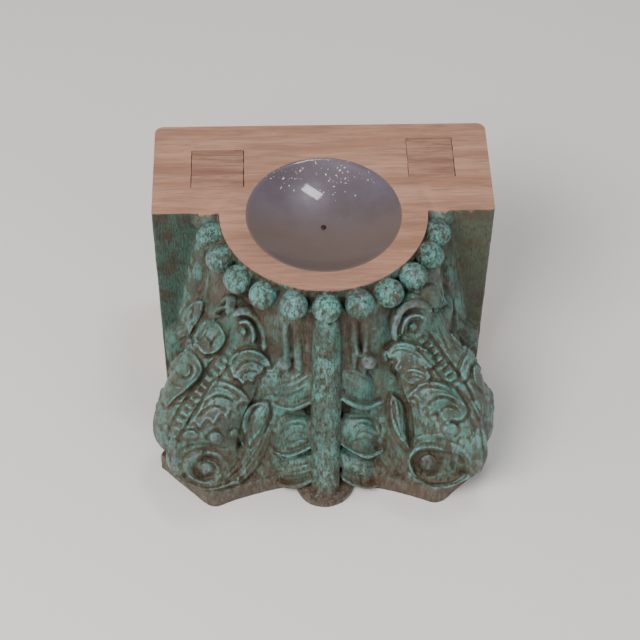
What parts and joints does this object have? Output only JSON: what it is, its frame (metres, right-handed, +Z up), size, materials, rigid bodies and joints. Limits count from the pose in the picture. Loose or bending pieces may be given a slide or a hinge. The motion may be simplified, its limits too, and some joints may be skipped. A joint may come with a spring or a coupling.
{
  "type": "carved wooden capital block",
  "caption": "Carved half capital with acanthus corners, volutes and a beaded neck, set neck up on its abacus, with a shallow candle dish in its sawn top.",
  "frame": {"origin": "on the underside, under the middle of the box that the whole block fills", "axes": "+Z up through the neck, -Y toward the carved front, +X to the right as seen from the front"},
  "size_m": [0.3178, 0.2672, 0.234],
  "materials": {
    "carved_wood": "worn turquoise paint over bare brown wood",
    "plug_wood": "bare sawn wood",
    "dish_glaze": "glossy dark brown",
    "nail_iron": "dark iron"
  },
  "bodies": {
    "root": {"capital_block": "carved_wood", "candle_dish": "dish_glaze", "dish_nail": "nail_iron", "left_mortise_plug": "plug_wood", "right_mortise_plug": "plug_wood"}
  },
  "joints": []
}
